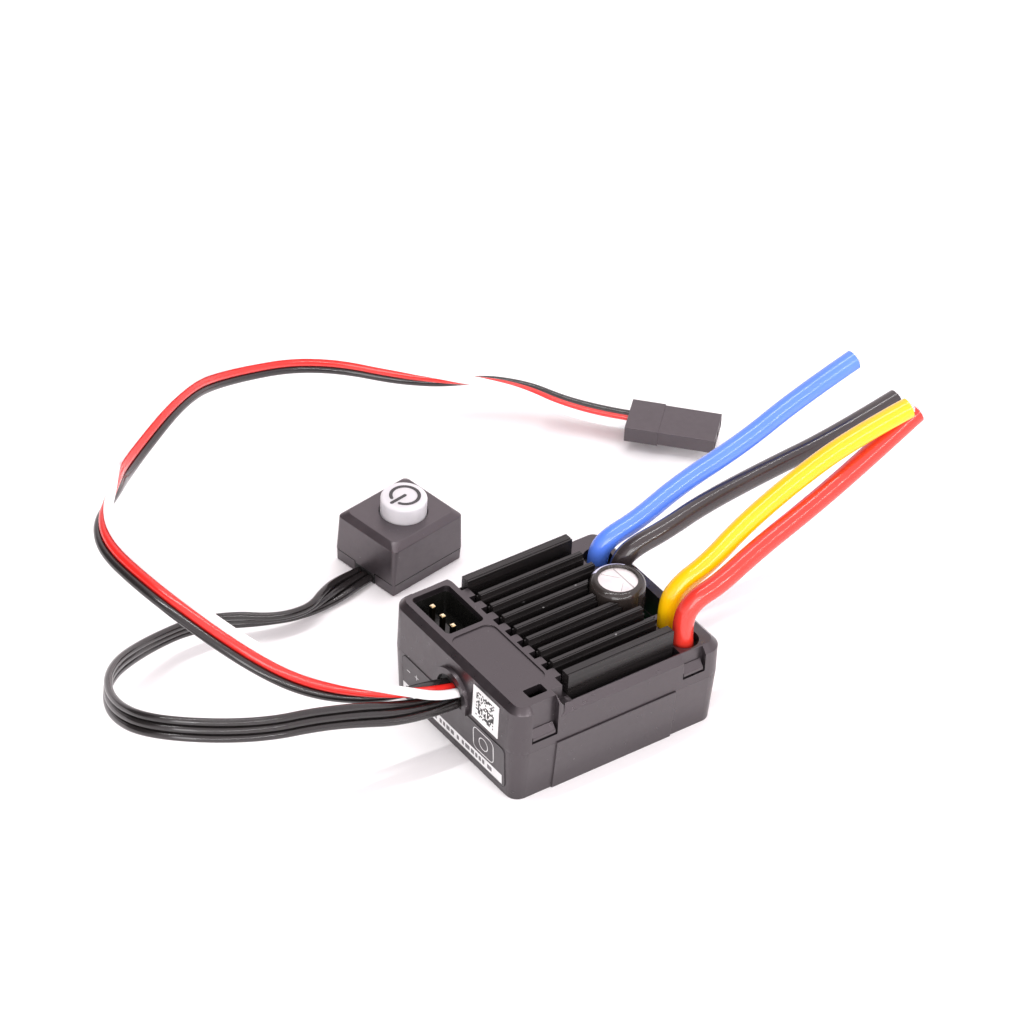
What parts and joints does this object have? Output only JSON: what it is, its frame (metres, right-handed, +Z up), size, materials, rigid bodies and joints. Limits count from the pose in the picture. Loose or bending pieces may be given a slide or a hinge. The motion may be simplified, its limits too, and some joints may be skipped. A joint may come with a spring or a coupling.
{
  "type": "electronic speed controller",
  "caption": "Small finned motor speed controller with thick power leads, a receiver lead with a plug, and a remote push-button power switch box.",
  "frame": {"origin": "centre of the controller case's bottom face", "axes": "+Z up, +Y from the low-current lead end towards the power-lead end, +X across the case"},
  "size_m": [0.095, 0.1311, 0.0395],
  "materials": {
    "case_plastic": "fine satin grain",
    "heatsink_metal": "black anodised, satin",
    "black_rubber": "matte",
    "pad_grey": "matte",
    "board_green": "solder mask",
    "chip_black": "matte",
    "ceramic_tan": "satin",
    "solder": "bright",
    "capacitor_sleeve": "glossy shrink sleeve with a pale stripe",
    "capacitor_can": "satin",
    "header_black": "satin",
    "gold_pins": "gold plated",
    "label_film": "satin film with a white strip",
    "label_paper": "matte",
    "silicone_blue": "glossy silicone",
    "silicone_black": "glossy silicone",
    "silicone_yellow": "glossy silicone",
    "silicone_red": "glossy silicone",
    "ribbon_wire": "satin",
    "plug_plastic": "satin",
    "switch_plastic": "satin, fine grain",
    "button_milky": "translucent milky white",
    "symbol_grey": "printed",
    "lamp_lens": "clear"
  },
  "bodies": {
    "controller": {"lower_shell": "case_plastic", "top_cover": "case_plastic", "heatsink": "heatsink_metal", "heatsink_seal": "black_rubber", "thermal_pad": "pad_grey", "circuit_board": "board_green", "power_transistors": "chip_black", "controller_chip": "chip_black", "voltage_regulator": "chip_black", "ceramic_capacitors": "ceramic_tan", "solder_pads": "solder", "lead_tails": "solder", "capacitor_can": "capacitor_can", "capacitor_sleeve": "capacitor_sleeve", "capacitor_bung": "black_rubber", "capacitor_legs": "solder", "program_header": "header_black", "program_pins": "gold_pins", "exit_grommet": "black_rubber", "front_label": "label_film", "code_label": "label_paper", "lead_seal_left": "black_rubber", "lead_seal_right": "black_rubber", "power_lead_blue": "silicone_blue", "power_lead_black": "silicone_black", "power_lead_yellow": "silicone_yellow", "power_lead_red": "silicone_red", "lead_tips": "solder", "receiver_lead": "ribbon_wire", "plug_housing": "plug_plastic", "plug_contacts": "gold_pins", "switch_lead": "ribbon_wire", "switch_cover": "switch_plastic", "switch_base": "switch_plastic", "switch_grommet": "black_rubber", "switch_posts": "switch_plastic", "switch_board": "board_green", "switch_lamps": "lamp_lens", "tactile_body": "chip_black"},
    "button": {"power_button": "button_milky", "button_symbol": "symbol_grey", "tactile_plunger": "chip_black"}
  },
  "joints": [
    {"name": "power_button_press", "type": "slide", "parent": "controller", "child": "button", "axis": [0, 0, -1], "range_m": [0, 0.0004], "stiffness_N_per_m": 1500, "springref_m": -0.0003}
  ]
}
